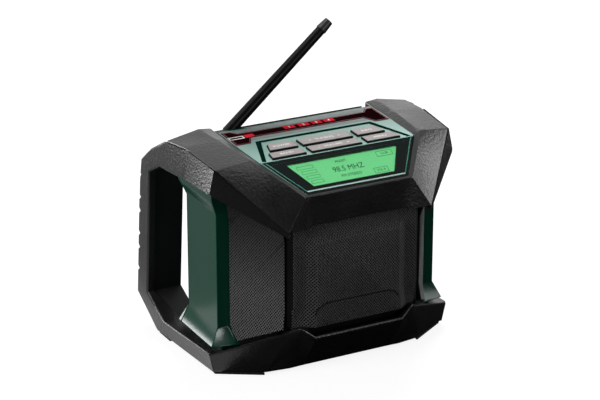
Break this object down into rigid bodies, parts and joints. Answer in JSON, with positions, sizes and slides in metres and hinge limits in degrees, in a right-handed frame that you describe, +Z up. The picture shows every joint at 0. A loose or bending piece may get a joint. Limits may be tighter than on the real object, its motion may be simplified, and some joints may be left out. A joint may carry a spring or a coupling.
{
  "type": "jobsite radio",
  "caption": "rugged jobsite radio with rubber guards, sloped display, key panel, hidden speakers, folding antenna and a slide-on battery pack",
  "frame": {"origin": "under the middle of the body on the floor plane", "axes": "+X to the radio's right as seen from the front, +Y to the back, +Z up; the front faces -Y"},
  "size_m": [0.248, 0.2016, 0.2869],
  "materials": {
    "frame_rubber": "soft-touch moulded overmould, fine grain",
    "grip_rubber": "soft dark grip",
    "foot_rubber": "plain",
    "green_housing": "dark green moulding",
    "panel_mint": "pale metallic green",
    "grille_mesh": "perforated, dark grey",
    "decal_black": "printed label with thin red lines",
    "key_grey": "satin",
    "display_glass": "clear lens",
    "lcd_green": "backlit green",
    "board_green": "circuit board",
    "heat_sink": "extruded",
    "steel": "zinc plated",
    "magnet": "ferrite",
    "cone_paper": "coated paper",
    "black_plastic": "moulded",
    "antenna_rubber": "flexible sleeve",
    "terminal_brass": "with brass contacts",
    "battery_plastic": "moulded",
    "release_red": "satin",
    "cell_wrap": "shrink wrapped steel cans"
  },
  "bodies": {
    "radio": {"top_frame": "frame_rubber", "lower_frame": "frame_rubber", "right_guard": "frame_rubber", "left_guard": "frame_rubber", "right_grip_bar": "grip_rubber", "left_grip_bar": "grip_rubber", "front_feet": "foot_rubber", "rear_feet": "foot_rubber", "front_housing": "green_housing", "housing_gasket": "foot_rubber", "rear_housing": "green_housing", "case_screws": "steel", "guard_screws": "steel", "rear_deck": "green_housing", "center_grille": "grille_mesh", "right_grille": "grille_mesh", "left_grille": "grille_mesh", "speaker_box": "black_plastic", "speaker_screws": "steel", "main_board": "board_green", "board_spacers": "steel", "heat_sink": "heat_sink", "control_panel": "panel_mint", "decal_strip": "decal_black", "keypad_mat": "foot_rubber", "key_board": "board_green", "display_lens": "display_glass", "lcd_module": "lcd_green", "display_board": "board_green", "antenna_base": "black_plastic", "antenna_pin": "steel", "battery_bay": "black_plastic", "terminal_block": "terminal_brass", "port_block": "black_plastic", "port_cover_pin": "steel", "power_inlet": "black_plastic", "right_speaker_frame": "steel", "left_speaker_frame": "steel", "right_speaker_cone": "cone_paper", "left_speaker_cone": "cone_paper", "right_speaker_magnet": "magnet", "left_speaker_magnet": "magnet"},
    "antenna": {"antenna_rod": "antenna_rubber", "antenna_tip": "black_plastic"},
    "battery": {"battery_case": "battery_plastic", "battery_cells": "cell_wrap"},
    "battery_button": {"battery_release": "release_red"},
    "socket_cover": {"port_cover": "black_plastic"},
    "key_front_left": {"key_front_left": "key_grey"},
    "key_front_right": {"key_front_right": "key_grey"},
    "rocker_front": {"rocker_front": "key_grey"},
    "key_rear_left": {"key_rear_left": "key_grey"},
    "key_rear_right": {"key_rear_right": "key_grey"},
    "rocker_rear": {"rocker_rear": "key_grey"}
  },
  "joints": [
    {"name": "antenna_pivot", "type": "hinge", "parent": "radio", "child": "antenna", "pos_m": [-0.0703, 0.029, 0.1891], "axis": [0, 1, 0], "range_deg": [-49.2, 40.8]},
    {"name": "battery_slide", "type": "slide", "parent": "radio", "child": "battery", "axis": [0, 0, 1], "range_m": [0, 0.075]},
    {"name": "battery_button_press", "type": "slide", "parent": "battery", "child": "battery_button", "axis": [0, -1, 0], "range_m": [0, 0.002], "stiffness_N_per_m": 600},
    {"name": "socket_cover_hinge", "type": "hinge", "parent": "radio", "child": "socket_cover", "pos_m": [0.063, 0.0452, 0.0594], "axis": [-1, 0, 0], "range_deg": [0, 120]},
    {"name": "key_front_left_press", "type": "slide", "parent": "radio", "child": "key_front_left", "axis": [0, 0.0499, -0.9988], "range_m": [0, 0.0008], "stiffness_N_per_m": 700},
    {"name": "key_front_right_press", "type": "slide", "parent": "radio", "child": "key_front_right", "axis": [0, 0.0499, -0.9988], "range_m": [0, 0.0008], "stiffness_N_per_m": 700},
    {"name": "rocker_front_tilt", "type": "hinge", "parent": "radio", "child": "rocker_front", "pos_m": [0, -0.05239, 0.19491], "axis": [0, 0.9988, 0.0499], "range_deg": [-2, 2], "stiffness_Nm_per_rad": 0.08},
    {"name": "key_rear_left_press", "type": "slide", "parent": "radio", "child": "key_rear_left", "axis": [0, 0.0499, -0.9988], "range_m": [0, 0.0008], "stiffness_N_per_m": 700},
    {"name": "key_rear_right_press", "type": "slide", "parent": "radio", "child": "key_rear_right", "axis": [0, 0.0499, -0.9988], "range_m": [0, 0.0008], "stiffness_N_per_m": 700},
    {"name": "rocker_rear_tilt", "type": "hinge", "parent": "radio", "child": "rocker_rear", "pos_m": [0, -0.03516, 0.19578], "axis": [0, 0.9988, 0.0499], "range_deg": [-2, 2], "stiffness_Nm_per_rad": 0.08}
  ]
}
